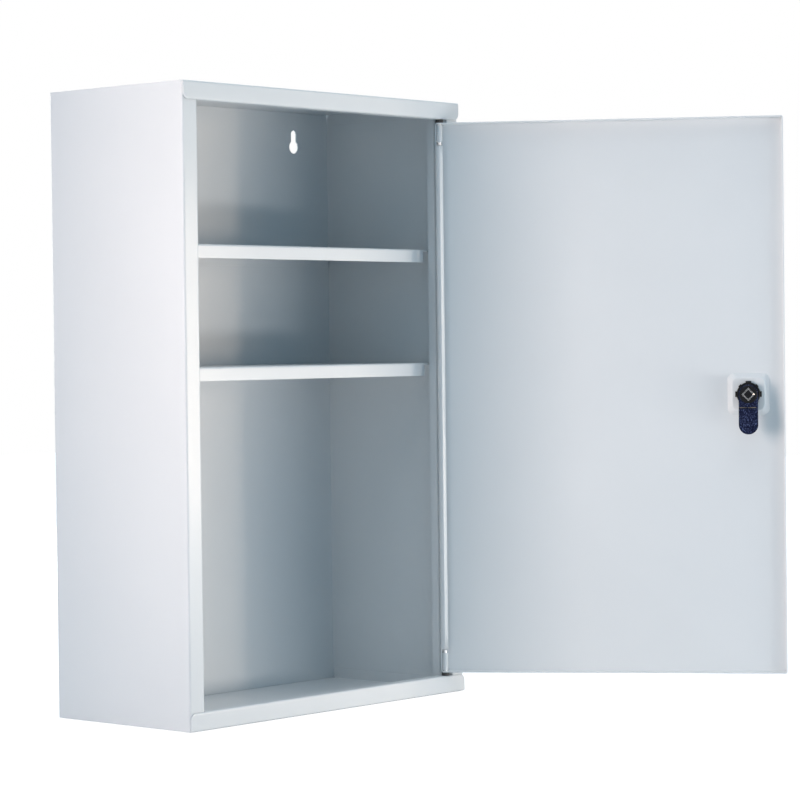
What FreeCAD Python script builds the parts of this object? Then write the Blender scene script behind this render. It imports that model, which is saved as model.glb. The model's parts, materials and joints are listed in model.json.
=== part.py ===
import FreeCAD
import Part
import Sketcher
import math
import os
import types

# Wall-hung steel medicine cabinet with one lockable door, in millimetres.
# X runs across the front, Y runs from the front to the wall and Z runs up.
# The origin is at the middle of the base, and the door stands open.

SIZE_ROWS = (
    ("width", 300.0, "cabinet across the front"),
    ("depth", 140.0, "front plane to the wall"),
    ("height", 460.0, "base to top"),
    ("gauge", 1.0, "sheet thickness"),
    ("bend_inside", 0.6, "inside radius of every fold"),
    ("weld_seam", 0.05, "gap between sheets that are welded together"),
    ("lip_seam", 0.35, "seam between the front lips and the folded sides"),
    ("overrun", 3.0, "how far cuts run past what they cut"),
    ("side_lip", 13.0, "front lip of the hinge side"),
    ("latch_lip", 14.8, "front lip of the latch side"),
    ("rebate_depth", 9.0, "front of a side lip to the door stop"),
    ("stop_width", 5.0, "door stop strip beyond the rebate wall"),
    ("stop_return", 7.0, "return fold behind the stop strip"),
    ("tray_lip", 13.5, "height of the top and bottom front lips"),
    ("lip_corner", 5.5, "rounding of the free corners of those lips"),
    ("lip_return", 9.0, "depth of the fold behind those lips"),
    ("tray_flange", 9.0, "side flanges of the top and bottom"),
    ("flange_setback", 3.0, "side flange ends to the folds that they stop at"),
    ("fold_relief", 0.2, "notch beside the end of a side flange, past its fold"),
    ("keyhole_spacing", 219.0, "between the two hanging keyholes"),
    ("keyhole_bulb", 10.4, "diameter of the keyhole entry"),
    ("keyhole_slot", 6.2, "width of the keyhole slot"),
    ("keyhole_rise", 10.1, "entry centre to slot end centre"),
    ("keyhole_drop", 28.4, "top of the cabinet to the entry centre"),
    ("shelf_setback", 20.0, "front plane to the shelf lip"),
    ("shelf_lip", 10.0, "height of a shelf's front lip"),
    ("shelf_flange", 11.0, "height of a shelf's side and rear flanges"),
    ("shelf_lip_gap", 20.0, "end of a shelf lip to the side wall"),
    ("upper_shelf_height", 346.0, "base to the upper shelf"),
    ("lower_shelf_height", 257.5, "base to the lower shelf"),
    ("door_gap", 3.0, "door edge to the rebate wall"),
    ("door_end_gap", 2.8, "door ends to the lip returns"),
    ("door_depth", 8.0, "depth of the door pan"),
    ("hinge_roll", 3.0, "outer radius of the rolled hinge edge of the door pan"),
    ("hinge_return", 0.8, "flat past that roll"),
    ("hinge_relief", 0.8, "clear space round a barrel notch"),
    ("door_open_angle", 123.3, "swing of the door from closed, in degrees"),
    ("dish_side", 32.0, "pressed lock dish on the inside"),
    ("dish_corner", 5.0, "corner rounding of the dish"),
    ("dish_depth", 5.0, "depth of the dish"),
    ("dish_slope", 3.5, "run of the dish's sloped walls"),
    ("dish_edge", 1.0, "rounding along the dish's edges"),
    ("lock_setback", 28.0, "free edge of the door to the lock axis"),
    ("lock_height", 231.0, "base to the lock axis"),
    ("barrel_diameter", 4.5, "hinge barrel"),
    ("barrel_length", 13.3, "hinge barrel along its axis"),
    ("pin_diameter", 3.0, "hinge pin"),
    ("pin_clearance", 0.05, "radial clearance round the hinge pin"),
    ("pin_tail", 2.4, "pin past the inner end of its barrel"),
    ("pin_reach", 1.6, "pin past the lip return"),
    ("pin_chamfer", 0.4, "chamfer on the pin ends"),
    ("washer_diameter", 6.0, "hinge washer"),
    ("washer_play", 0.1, "end play of a hinge washer"),
    ("lock_face", 20.0, "diameter of the lock's front face"),
    ("lock_face_depth", 2.5, "thickness of the front face"),
    ("lock_face_edge", 0.8, "rounding of the front face"),
    ("lock_barrel", 14.0, "diameter of the lock barrel"),
    ("lock_flats", 12.6, "across the flats of the lock barrel"),
    ("lock_length", 9.0, "barrel length behind the front face"),
    ("lock_clearance", 0.05, "radial clearance of the lock's fits"),
    ("nut_diameter", 18.0, "ring nut"),
    ("nut_depth", 3.2, "thickness of the ring nut"),
    ("nut_lug_reach", 10.1, "axis to the end of a nut lug"),
    ("nut_lug_width", 4.2, "width of a nut lug"),
    ("nut_tooth_reach", 9.7, "axis to the end of a small tooth between lugs"),
    ("nut_tooth_width", 2.4, "width of that tooth"),
    ("nut_edge", 0.5, "chamfer round the ring nut"),
    ("plug_head", 12.0, "diameter of the plug's head"),
    ("plug_head_depth", 1.5, "thickness of the plug's head"),
    ("plug_diameter", 10.2, "diameter of the plug"),
    ("plug_end", 0.9, "shank past the cam retainer"),
    ("shank_side", 7.2, "square shank across its flats"),
    ("shank_edge", 0.7, "chamfer round the end of the shank"),
    ("shank_corner", 0.6, "how far the corners of the shank are cut back"),
    ("shank_dimple", 2.6, "centre dimple in the end of the shank"),
    ("shank_dimple_depth", 0.7, "depth of that dimple"),
    ("keyway_width", 2.2, "key slot"),
    ("keyway_height", 7.4, "key slot"),
    ("keyway_depth", 10.2, "key slot from the plug's front"),
    ("wafer_first", 2.6, "plug front to the first wafer"),
    ("wafer_pitch", 2.0, "between wafers"),
    ("wafer_depth", 0.9, "thickness of a wafer"),
    ("wafer_width", 5.4, "width of a wafer"),
    ("wafer_window", 3.0, "width of the window in a wafer"),
    ("wafer_bridge", 1.2, "bar over and under that window"),
    ("stop_diameter", 13.6, "stop washer"),
    ("stop_depth", 1.0, "thickness of the stop washer"),
    ("stop_tab_width", 2.2, "tab of the stop washer"),
    ("stop_tab_depth", 1.6, "how far that tab reaches into the barrel"),
    ("stop_tab_wall", 0.9, "thickness of that tab"),
    ("cam_width", 14.7, "cam across"),
    ("cam_reach", 30.5, "lock axis to the cam's tip"),
    ("cam_depth", 1.6, "thickness of the cam"),
    ("cam_crank_drop", 9.6, "lock axis to the crank"),
    ("cam_crank_run", 1.8, "length of the crank's slope"),
    ("cam_crank_step", 2.6, "step of the crank"),
    ("retainer_diameter", 13.6, "push-on retainer"),
    ("retainer_depth", 1.2, "thickness of the retainer"),
    ("retainer_edge", 0.4, "chamfer round the retainer"),
)

WAFER_COUNT = 4
LUG_COUNT = 4
TOOTH_COUNT = 8
FULL_TURN = 360.0
UPRIGHT = FreeCAD.Vector(0, 0, 1)
ACROSS_DEPTH = FreeCAD.Vector(0, 1, 0)

document = FreeCAD.newDocument("MedicineCabinet")
sheet = document.addObject("Spreadsheet::Sheet", "Sizes")
for row, (name, value, note) in enumerate(SIZE_ROWS, start=1):
    sheet.set(f"A{row}", note)
    sheet.set(f"B{row}", str(value))
    sheet.setAlias(f"B{row}", name)
document.recompute()


class Size:
    """A length that keeps its number beside the sheet expression that drives it."""

    def __init__(self, value, text):
        self.value = value
        self.text = text

    def __add__(self, other):
        return Size(self.value + other.value, f"({self.text} + {other.text})")

    def __sub__(self, other):
        return Size(self.value - other.value, f"({self.text} - {other.text})")

    def __neg__(self):
        return Size(-self.value, f"(0 - {self.text})")

    def __mul__(self, factor):
        if isinstance(factor, Size):
            return Size(self.value * factor.value, f"({self.text} * {factor.text})")
        return Size(self.value * factor, f"({self.text} * {factor})")

    def __truediv__(self, factor):
        if isinstance(factor, Size):
            return Size(self.value / factor.value, f"({self.text} / {factor.text})")
        return Size(self.value / factor, f"({self.text} / {factor})")


def root(square):
    """Square root of a size times a size."""
    return Size(math.sqrt(square.value), f"sqrt({square.text})")


def cosine(angle):
    """Cosine of an angle of the sheet, in degrees."""
    return Size(math.cos(math.radians(angle.value)), f"cos({angle.text})")


def sine(angle):
    """Sine of an angle of the sheet, in degrees."""
    return Size(math.sin(math.radians(angle.value)), f"sin({angle.text})")


s = types.SimpleNamespace(
    **{name: Size(value, f"Sizes.{name}") for name, value, note in SIZE_ROWS}
)
ZERO = Size(0.0, "0")
HALF_TURN = Size(180.0, "180")

# Places that several pieces share
half_width = s.width / 2
front = -s.depth / 2
wall = s.depth / 2
inner_side = half_width - s.gauge - s.weld_seam
inner_back = wall - s.gauge - s.weld_seam
bend_outside = s.bend_inside + s.gauge
side_front = front + s.gauge + s.lip_seam
stop_front = side_front + s.rebate_depth
return_rear = stop_front + s.stop_return
rebate_wall = half_width - s.side_lip
latch_wall = half_width - s.latch_lip
door_side = rebate_wall - s.door_gap
hinge_x = door_side - s.gauge - s.weld_seam - s.barrel_diameter / 2
hinge_y = front + s.gauge + s.weld_seam + s.barrel_diameter / 2
door_base = s.tray_lip + s.door_end_gap
door_top = s.height - s.tray_lip - s.door_end_gap
barrel_inset = s.gauge + s.bend_inside + s.weld_seam
pin_hole = s.pin_diameter + s.pin_clearance * 2

# Places on the closed door, measured from the hinge axis
door_hinge_edge = door_side - hinge_x
door_free_edge = -door_side - hinge_x
door_face = front - hinge_y
lock_x = door_free_edge + s.lock_setback

# Places along the lock axis, measured from the outer face of the closed door
lock_front = s.dish_depth - s.lock_face_depth
lock_rear = s.dish_depth + s.lock_length
stop_washer_front = lock_rear + s.lock_clearance
cam_front = stop_washer_front + s.stop_depth + s.lock_clearance
cam_rear = cam_front + s.cam_depth
retainer_front = cam_rear + s.lock_clearance
retainer_rear = retainer_front + s.retainer_depth
shank_rear = retainer_rear + s.plug_end


def new_body(label):
    """A piece of the cabinet under its own name."""
    body = document.addObject("PartDesign::Body", label)
    body.Label = label
    return body


def place(body, x, y, z, axis=UPRIGHT, angle=ZERO):
    """Puts a piece at a point, turned about an axis."""
    spot = FreeCAD.Vector(x.value, y.value, z.value)
    body.Placement = FreeCAD.Placement(spot, FreeCAD.Rotation(axis, angle.value))
    for letter, distance in zip("xyz", (x, y, z)):
        body.setExpression(f"Placement.Base.{letter}", distance.text)
    if angle is not ZERO:
        body.setExpression("Placement.Rotation.Angle", angle.text)


def place_on_door(body):
    """Puts a piece that is drawn about the hinge axis on the open door."""
    place(body, hinge_x, hinge_y, ZERO, UPRIGHT, s.door_open_angle)


def place_on_lock(body):
    """Puts a piece that is drawn about the lock axis on the open door."""
    along = cosine(s.door_open_angle)
    across = sine(s.door_open_angle)
    x = hinge_x + lock_x * along - door_face * across
    y = hinge_y + lock_x * across + door_face * along
    place(body, x, y, s.lock_height, UPRIGHT, s.door_open_angle)


def new_sketch(body, plane, name, lift=ZERO):
    """A sketch on one of the piece's own planes, lifted along that plane's normal."""
    support = next(item for item in body.Origin.OriginFeatures if item.Role == plane)
    sketch = body.newObject("Sketcher::SketchObject", f"{body.Name}_{name}")
    sketch.AttachmentSupport = [(support, "")]
    sketch.MapMode = "FlatFace"
    if lift is not ZERO:
        sketch.setExpression("AttachmentOffset.Base.z", lift.text)
    return sketch


def depth_sketch(body, name, distance):
    """A sketch that faces the front, at a distance behind the piece's origin."""
    return new_sketch(body, "XZ_Plane", name, -distance)


def hold(sketch, element, point, spot):
    """Ties a point of a sketch to its two distances from the sketch's origin."""
    for kind, distance in zip(("DistanceX", "DistanceY"), spot):
        rule = Sketcher.Constraint(kind, -1, 1, element, point, distance.value)
        index = sketch.addConstraint(rule)
        if distance is not ZERO:
            sketch.setExpression(f"Constraints[{index}]", distance.text)


def outline_arc(start, end, radius, turn):
    """Arc of less than a half circle between two points, turning left (1) or right (-1)."""
    chord = end - start
    rise = math.sqrt(max(radius**2 - chord.Length**2 / 4, 0))
    normal = FreeCAD.Vector(-chord.y, chord.x, 0) / chord.Length
    centre = (start + end) / 2 + normal * (rise * turn)
    first, last = (start, end) if turn > 0 else (end, start)
    angles = [math.atan2(point.y - centre.y, point.x - centre.x) for point in (first, last)]
    return Part.ArcOfCircle(Part.Circle(centre, UPRIGHT, radius), *angles)


def draw_outline(sketch, corners):
    """Closed outline through its corners, with an arc after a corner that names one."""
    spots = [FreeCAD.Vector(corner[0].value, corner[1].value, 0) for corner in corners]
    first = sketch.GeometryCount
    count = len(spots)
    ends = []
    for index, corner in enumerate(corners):
        following = spots[(index + 1) % count]
        if len(corner) == 2:
            sketch.addGeometry(Part.LineSegment(spots[index], following))
            ends.append((1, 2))
            continue
        radius, turn = corner[2:]
        sketch.addGeometry(outline_arc(spots[index], following, radius.value, turn))
        ends.append((1, 2) if turn > 0 else (2, 1))
    for index, corner in enumerate(corners):
        after = (index + 1) % count
        pair = (first + index, ends[index][1], first + after, ends[after][0])
        sketch.addConstraint(Sketcher.Constraint("Coincident", *pair))
        hold(sketch, first + index, ends[index][0], corner[:2])
        if len(corner) > 2:
            rule = Sketcher.Constraint("Radius", first + index, corner[2].value)
            number = sketch.addConstraint(rule)
            sketch.setExpression(f"Constraints[{number}]", corner[2].text)


def draw_box(sketch, low, high):
    """Rectangle between two opposite corners."""
    draw_outline(sketch, [low, (high[0], low[1]), high, (low[0], high[1])])


def draw_pair(sketch, low, high):
    """Rectangle and its mirror image on the other side of the middle."""
    draw_box(sketch, low, high)
    draw_box(sketch, (-high[0], low[1]), (-low[0], high[1]))


def draw_rounded_square(sketch, centre, side, radius):
    """Square with rounded corners about a centre."""
    x, y = centre
    half = side / 2
    flat = half - radius
    corners = [
        (x - flat, y - half),
        (x + flat, y - half, radius, 1),
        (x + half, y - flat),
        (x + half, y + flat, radius, 1),
        (x + flat, y + half),
        (x - flat, y + half, radius, 1),
        (x - half, y + flat),
        (x - half, y - flat, radius, 1),
    ]
    draw_outline(sketch, corners)


def draw_diamond(sketch, side):
    """Square that stands on one corner."""
    reach = side / math.sqrt(2)
    draw_outline(sketch, [(ZERO, reach), (-reach, ZERO), (ZERO, -reach), (reach, ZERO)])


def draw_cut_diamond(sketch, side, cut):
    """Square on its corner whose corners are cut back to short flats."""
    reach = root(side * side / 2) - cut
    corners = [
        (reach, -cut),
        (reach, cut),
        (cut, reach),
        (-cut, reach),
        (-reach, cut),
        (-reach, -cut),
        (-cut, -reach),
        (cut, -reach),
    ]
    draw_outline(sketch, corners)


def draw_flatted_circle(sketch, centre, diameter, flats):
    """Circle with a flat on its left and on its right."""
    x, y = centre
    radius = diameter / 2
    half = flats / 2
    rise = root(radius * radius - half * half)
    corners = [
        (x + half, y - rise),
        (x + half, y + rise, radius, 1),
        (x - half, y + rise),
        (x - half, y - rise, radius, 1),
    ]
    draw_outline(sketch, corners)


def draw_circle(sketch, centre, diameter):
    """Circle by its centre and diameter."""
    middle = FreeCAD.Vector(centre[0].value, centre[1].value, 0)
    element = sketch.addGeometry(Part.Circle(middle, UPRIGHT, diameter.value / 2))
    hold(sketch, element, 3, centre)
    index = sketch.addConstraint(Sketcher.Constraint("Diameter", element, diameter.value))
    sketch.setExpression(f"Constraints[{index}]", diameter.text)


def add_pad(body, sketch, length, backward=False):
    """Solid that a sketch sweeps along its normal, or the other way."""
    pad = body.newObject("PartDesign::Pad", f"{sketch.Name}_pad")
    pad.Profile = sketch
    pad.Reversed = backward
    pad.setExpression("Length", length.text)
    document.recompute()
    return pad


def add_pocket(body, sketch, length, backward=False):
    """Cut that a sketch sweeps against its normal, or the other way."""
    before = body.Shape.Volume
    pocket = body.newObject("PartDesign::Pocket", f"{sketch.Name}_pocket")
    pocket.Profile = sketch
    pocket.Reversed = backward
    pocket.setExpression("Length", length.text)
    document.recompute()
    if body.Shape.Volume >= before:
        raise RuntimeError(f"{pocket.Name} cuts nothing")
    return pocket


def add_loft(body, kind, sketches):
    """Solid or cut that runs from one sketch to the next."""
    loft = body.newObject(f"PartDesign::{kind}", f"{sketches[0].Name}_loft")
    loft.Profile = sketches[0]
    loft.Sections = sketches[1:]
    document.recompute()
    return loft


def soften(body, edges, radius, kind="Fillet"):
    """Rounds or chamfers named edges of the piece."""
    base = body.Tip
    feature = body.newObject(f"PartDesign::{kind}", f"{body.Name}_{kind}")
    feature.Base = (base, edges)
    feature.setExpression("Radius" if kind == "Fillet" else "Size", radius.text)
    document.recompute()
    return feature


def near(number, size):
    """Whether a coordinate lies at a size."""
    return abs(number - size.value) < s.weld_seam.value / 4


def edges_at(body, axes, spot):
    """Names of the edges whose ends all lie at a spot, read on some of the three axes."""
    names = []
    for index, edge in enumerate(body.Shape.Edges, start=1):
        points = [vertex.Point for vertex in edge.Vertexes]
        if all(near(point[axis], size) for point in points for axis, size in zip(axes, spot)):
            names.append(f"Edge{index}")
    return names


def folded_strip(path, side):
    """Outline of a sheet folded along a path of square turns, its thickness to one side.

    Returns the outline, then the corners on the outside and on the inside of the folds.
    """
    steps = [
        (end[0].value - start[0].value, end[1].value - start[1].value)
        for start, end in zip(path, path[1:])
    ]
    shifted = []
    outside = []
    inside = []
    for index, (x, y) in enumerate(path):
        for run_x, run_y in steps[max(index - 1, 0):index + 1]:
            if abs(run_x) > abs(run_y):
                y = y + s.gauge * math.copysign(side, run_x * side)
            else:
                x = x - s.gauge * math.copysign(side, run_y * side)
        shifted.append((x, y))
        if 0 < index < len(path) - 1:
            before, after = steps[index - 1:index + 1]
            turn = before[0] * after[1] - before[1] * after[0]
            pair = (path[index], (x, y))
            outer, inner = pair if turn * side > 0 else pair[::-1]
            outside.append(outer)
            inside.append(inner)
    return path + shifted[::-1], outside, inside


def add_folded_sheet(body, plane, path, side, lift, length):
    """Sheet folded along a path on one of the piece's planes, with rounded folds."""
    axes = {"XY_Plane": (0, 1), "YZ_Plane": (1, 2)}[plane]
    outline, outside, inside = folded_strip(path, side)
    sketch = new_sketch(body, plane, "folds", lift)
    draw_outline(sketch, outline)
    add_pad(body, sketch, length)
    for corners, radius in ((outside, bend_outside), (inside, s.bend_inside)):
        edges = [name for corner in corners for name in edges_at(body, axes, corner)]
        soften(body, edges, radius)


def add_side_flanges(body, start, end, first_cut, height):
    """Flanges folded down along both sides of a panel whose top is at zero height."""
    relief = new_sketch(body, "XY_Plane", "relief", s.overrun)
    for low, high in ((first_cut, start), (end, inner_back + s.overrun)):
        inset = inner_side - bend_outside - s.fold_relief
        draw_pair(relief, (inset, low), (half_width + s.overrun, high))
    add_pocket(body, relief, height + s.overrun * 2)
    flanges = new_sketch(body, "XY_Plane", "flanges")
    draw_pair(flanges, (inner_side - s.gauge, start), (inner_side, end))
    add_pad(body, flanges, height, backward=True)
    outer = [(inner_side, ZERO), (-inner_side, ZERO)]
    inner = [(inner_side - s.gauge, -s.gauge), (s.gauge - inner_side, -s.gauge)]
    for corners, radius in ((outer, bend_outside), (inner, s.bend_inside)):
        edges = [name for corner in corners for name in edges_at(body, (0, 2), corner)]
        soften(body, edges, radius)


def make_body_wrap():
    """Back and both sides folded from one sheet, with the door frame along both front edges."""
    body = new_body("body_wrap")
    left = frame_edge(latch_wall)
    right = [(-x, y) for x, y in frame_edge(rebate_wall)[::-1]]
    add_folded_sheet(body, "XY_Plane", left + right, -1, ZERO, s.height)
    # The folded front edges stop short of the top and bottom panels
    notch = bend_outside + s.weld_seam
    low = (s.gauge - half_width, front - s.overrun)
    high = (half_width - s.gauge, return_rear + s.overrun)
    for name, lift, backward in (("upper", s.height + s.overrun, False), ("lower", -s.overrun, True)):
        sketch = new_sketch(body, "XY_Plane", f"{name}_notch", lift)
        draw_box(sketch, low, high)
        add_pocket(body, sketch, notch + s.overrun, backward)
    keyholes = depth_sketch(body, "keyholes", wall + s.overrun)
    for x in (-s.keyhole_spacing / 2, s.keyhole_spacing / 2):
        draw_keyhole(keyholes, x, s.height - s.keyhole_drop)
    add_pocket(body, keyholes, s.overrun * 2, backward=True)
    return body


def frame_edge(opening):
    """Corners of a side from the stop's return round the rebate and the lip to the wall."""
    stop_edge = opening - s.stop_width
    return [
        (-stop_edge, return_rear),
        (-stop_edge, stop_front),
        (-opening, stop_front),
        (-opening, side_front),
        (-half_width, side_front),
        (-half_width, wall),
    ]


def draw_keyhole(sketch, x, z):
    """Round entry with a narrower slot that runs up from it to a round end."""
    half = s.keyhole_slot / 2
    entry = s.keyhole_bulb / 2
    neck = root(entry * entry - half * half)
    top = z + s.keyhole_rise
    corners = [
        (x - half, z + neck, entry, 1),
        (x - entry, z, entry, 1),
        (x, z - entry, entry, 1),
        (x + entry, z, entry, 1),
        (x + half, z + neck),
        (x + half, top, half, 1),
        (x, top + half, half, 1),
        (x - half, top),
    ]
    draw_outline(sketch, corners)


def make_tray(label, hinge_side):
    """Top or bottom panel with front lip, lip return and side flanges, drawn as the top."""
    body = new_body(label)
    path = [
        (inner_back, ZERO),
        (front, ZERO),
        (front, -s.tray_lip),
        (front + s.lip_return, -s.tray_lip),
    ]
    add_folded_sheet(body, "YZ_Plane", path, 1, -half_width, s.width)
    behind_lip = front + s.gauge
    sides = new_sketch(body, "XY_Plane", "sides", s.overrun)
    draw_pair(sides, (inner_side, behind_lip), (half_width + s.overrun, wall + s.overrun))
    add_pocket(body, sides, s.tray_lip + s.overrun * 2)
    below = -s.tray_lip - s.overrun
    return_ends = new_sketch(body, "XY_Plane", "return_ends", below)
    for opening, turn in ((latch_wall, -hinge_side), (rebate_wall, hinge_side)):
        inner = (opening - s.weld_seam) * turn
        draw_box(return_ends, (inner, behind_lip), (half_width * turn, stop_front))
    add_pocket(body, return_ends, s.tray_lip / 2 + s.overrun, backward=True)
    corners = depth_sketch(body, "lip_corners", front - s.overrun)
    for turn in (1, -1):
        draw_lip_corner(corners, turn)
    add_pocket(body, corners, s.overrun + s.gauge * 2)
    start = side_front + s.gauge + s.flange_setback
    add_side_flanges(body, start, inner_back - s.flange_setback, behind_lip, s.tray_flange)
    pin = new_sketch(body, "XY_Plane", "pin", below)
    draw_circle(pin, (hinge_x * hinge_side, hinge_y), pin_hole)
    add_pocket(body, pin, s.overrun * 2, backward=True)
    return body


def draw_lip_corner(sketch, side):
    """What a rounded lower corner of a front lip leaves out."""
    outer = half_width * side
    rounded = s.lip_corner * side
    beyond = s.overrun * side
    corners = [
        (outer - rounded, -s.tray_lip, s.lip_corner, side),
        (outer, s.lip_corner - s.tray_lip),
        (outer + beyond, s.lip_corner - s.tray_lip),
        (outer + beyond, -s.tray_lip - s.overrun),
        (outer - rounded, -s.tray_lip - s.overrun),
    ]
    draw_outline(sketch, corners)


def make_shelf(label):
    """Fixed shelf with a front lip and with flanges on its other sides."""
    body = new_body(label)
    lip = front + s.shelf_setback
    path = [
        (lip, -s.shelf_lip),
        (lip, ZERO),
        (inner_back, ZERO),
        (inner_back, -s.shelf_flange),
    ]
    add_folded_sheet(body, "YZ_Plane", path, -1, -inner_side, inner_side * 2)
    ends = new_sketch(body, "XY_Plane", "lip_ends", -s.shelf_lip - s.overrun)
    low = (inner_side - s.shelf_lip_gap, lip - s.overrun)
    draw_pair(ends, low, (half_width, lip + bend_outside))
    add_pocket(body, ends, s.shelf_lip + s.overrun - bend_outside, backward=True)
    start = lip + bend_outside + s.flange_setback
    add_side_flanges(body, start, inner_back - s.flange_setback, lip - s.overrun, s.shelf_flange)
    return body


def make_door_panel():
    """Folded door pan with the pressed dish that holds the lock."""
    body = new_body("door_panel")
    rear = door_face + s.door_depth
    inside = door_face + s.gauge
    outer = depth_sketch(body, "pan", door_face)
    draw_box(outer, (door_free_edge, door_base), (door_hinge_edge, door_top))
    add_pad(body, outer, s.door_depth, backward=True)
    edges = edges_at(body, (1,), (door_face,))
    for x in (door_free_edge, door_hinge_edge):
        for z in (door_base, door_top):
            edges += edges_at(body, (0, 2), (x, z))
    soften(body, edges, bend_outside)
    low = (door_free_edge + s.gauge, door_base + s.gauge)
    high = (door_hinge_edge - s.gauge, door_top - s.gauge)
    hollow = depth_sketch(body, "hollow", rear)
    draw_box(hollow, low, high)
    add_pocket(body, hollow, s.door_depth - s.gauge, backward=True)
    edges = edges_at(body, (1,), (inside,))
    for x in (low[0], high[0]):
        for z in (low[1], high[1]):
            edges += edges_at(body, (0, 2), (x, z))
    soften(body, edges, s.bend_inside)
    add_lock_dish(body, inside)
    add_hinge_return(body, rear)
    for name, lift, backward in (
        ("upper", door_top + s.overrun, False),
        ("lower", door_base - s.overrun, True),
    ):
        pin = new_sketch(body, "XY_Plane", f"{name}_pin", lift)
        draw_circle(pin, (ZERO, ZERO), pin_hole)
        add_pocket(body, pin, s.overrun * 2, backward)
    return body


def add_hinge_return(body, rear):
    """Rolled return along the hinge edge of the door pan, between notches for the barrels."""
    zone = barrel_inset + s.barrel_length + s.pin_tail + s.hinge_relief
    low = door_base + zone
    high = door_top - zone
    notches = depth_sketch(body, "barrel_notches", rear)
    notch_side = door_hinge_edge - bend_outside
    beyond = door_hinge_edge + s.overrun
    draw_box(notches, (notch_side, high), (beyond, door_top + s.overrun))
    draw_box(notches, (notch_side, door_base - s.overrun), (beyond, low))
    add_pocket(body, notches, s.hinge_roll + s.hinge_relief, backward=True)
    strip = depth_sketch(body, "hinge_return", rear)
    edge = door_hinge_edge - s.hinge_roll - s.hinge_return
    draw_box(strip, (edge, low), (door_hinge_edge - s.gauge / 2, high))
    add_pad(body, strip, s.gauge)
    soften(body, edges_at(body, (0, 1), (door_hinge_edge, rear)), s.hinge_roll)
    inner = (door_hinge_edge - s.gauge, rear - s.gauge)
    soften(body, edges_at(body, (0, 1), inner), s.hinge_roll - s.gauge)


def add_lock_dish(body, inside):
    """Square dish pressed into the door, with sloped walls of the sheet's own thickness."""
    centre = (lock_x, s.lock_height)
    slope_length = root(s.dish_depth * s.dish_depth + s.dish_slope * s.dish_slope)
    wall_shift = s.gauge * (slope_length - s.dish_slope) / s.dish_depth
    recess_side = s.dish_side - wall_shift * 2
    for kind, start, side in (
        ("AdditiveLoft", inside, s.dish_side),
        ("SubtractiveLoft", door_face, recess_side),
    ):
        sketches = []
        for name, depth, width in (
            ("rim", start, side),
            ("floor", start + s.dish_depth, side - s.dish_slope * 2),
        ):
            sketch = depth_sketch(body, f"dish_{name}", depth)
            draw_rounded_square(sketch, centre, width, s.dish_corner)
            sketches.append(sketch)
        add_loft(body, kind, sketches)
    floor = door_face + s.dish_depth
    inner_edges = edges_near_lock(body, inside + s.dish_depth, s.dish_side)
    soften(body, inner_edges, s.dish_edge)
    rim_edges = edges_near_lock(body, door_face, s.dish_side)
    soften(body, rim_edges, s.dish_edge)
    hole = depth_sketch(body, "lock_hole", floor - s.overrun)
    fit = s.lock_clearance * 2
    draw_flatted_circle(hole, centre, s.lock_barrel + fit, s.lock_flats + fit)
    add_pocket(body, hole, s.overrun * 2)


def edges_near_lock(body, depth, reach):
    """Names of the edges at one depth of the door that lie round the lock."""
    names = []
    for index, edge in enumerate(body.Shape.Edges, start=1):
        points = [vertex.Point for vertex in edge.Vertexes]
        close = all(abs(point.x - lock_x.value) < reach.value for point in points)
        level = all(near(point.y, depth) for point in points)
        high = all(abs(point.z - s.lock_height.value) < reach.value for point in points)
        if close and level and high:
            names.append(f"Edge{index}")
    return names


def make_ring(label, bottom, length, outer, bore, backward=False):
    """Plain ring about its own upright axis."""
    body = new_body(label)
    sketch = new_sketch(body, "XY_Plane", "ring", bottom)
    draw_circle(sketch, (ZERO, ZERO), outer)
    draw_circle(sketch, (ZERO, ZERO), bore)
    add_pad(body, sketch, length, backward)
    return body


def make_barrel(label, end, backward):
    """Hinge barrel that starts at one end of the door."""
    return make_ring(label, end, s.barrel_length, s.barrel_diameter, pin_hole, backward)


def make_hinge_pin(label, bottom, top):
    """Hinge pin with chamfered ends."""
    body = new_body(label)
    sketch = new_sketch(body, "XY_Plane", "pin", bottom)
    draw_circle(sketch, (ZERO, ZERO), s.pin_diameter)
    add_pad(body, sketch, top - bottom)
    edges = edges_at(body, (2,), (bottom,)) + edges_at(body, (2,), (top,))
    soften(body, edges, s.pin_chamfer, "Chamfer")
    return body


def make_hinges():
    """Barrels, pins and washers at both ends of the door's hinge edge."""
    upper_barrel = door_top - barrel_inset
    lower_barrel = door_base + barrel_inset
    pin_top = s.height - s.tray_lip + s.gauge + s.pin_reach
    pin_bottom = s.tray_lip - s.gauge - s.pin_reach
    on_door = [
        make_barrel("hinge_barrel_upper", upper_barrel, True),
        make_barrel("hinge_barrel_lower", lower_barrel, False),
        make_hinge_pin("hinge_pin_upper", upper_barrel - s.barrel_length - s.pin_tail, pin_top),
        make_hinge_pin("hinge_pin_lower", pin_bottom, lower_barrel + s.barrel_length + s.pin_tail),
    ]
    for body in on_door:
        place_on_door(body)
    washer_length = s.door_end_gap - s.washer_play * 2
    washers = []
    for label, bottom in (
        ("hinge_washer_upper", door_top + s.washer_play),
        ("hinge_washer_lower", s.tray_lip + s.washer_play),
    ):
        washer = make_ring(label, ZERO, washer_length, s.washer_diameter, pin_hole)
        place(washer, hinge_x, hinge_y, bottom)
        washers.append(washer)
    return on_door + washers


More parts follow.
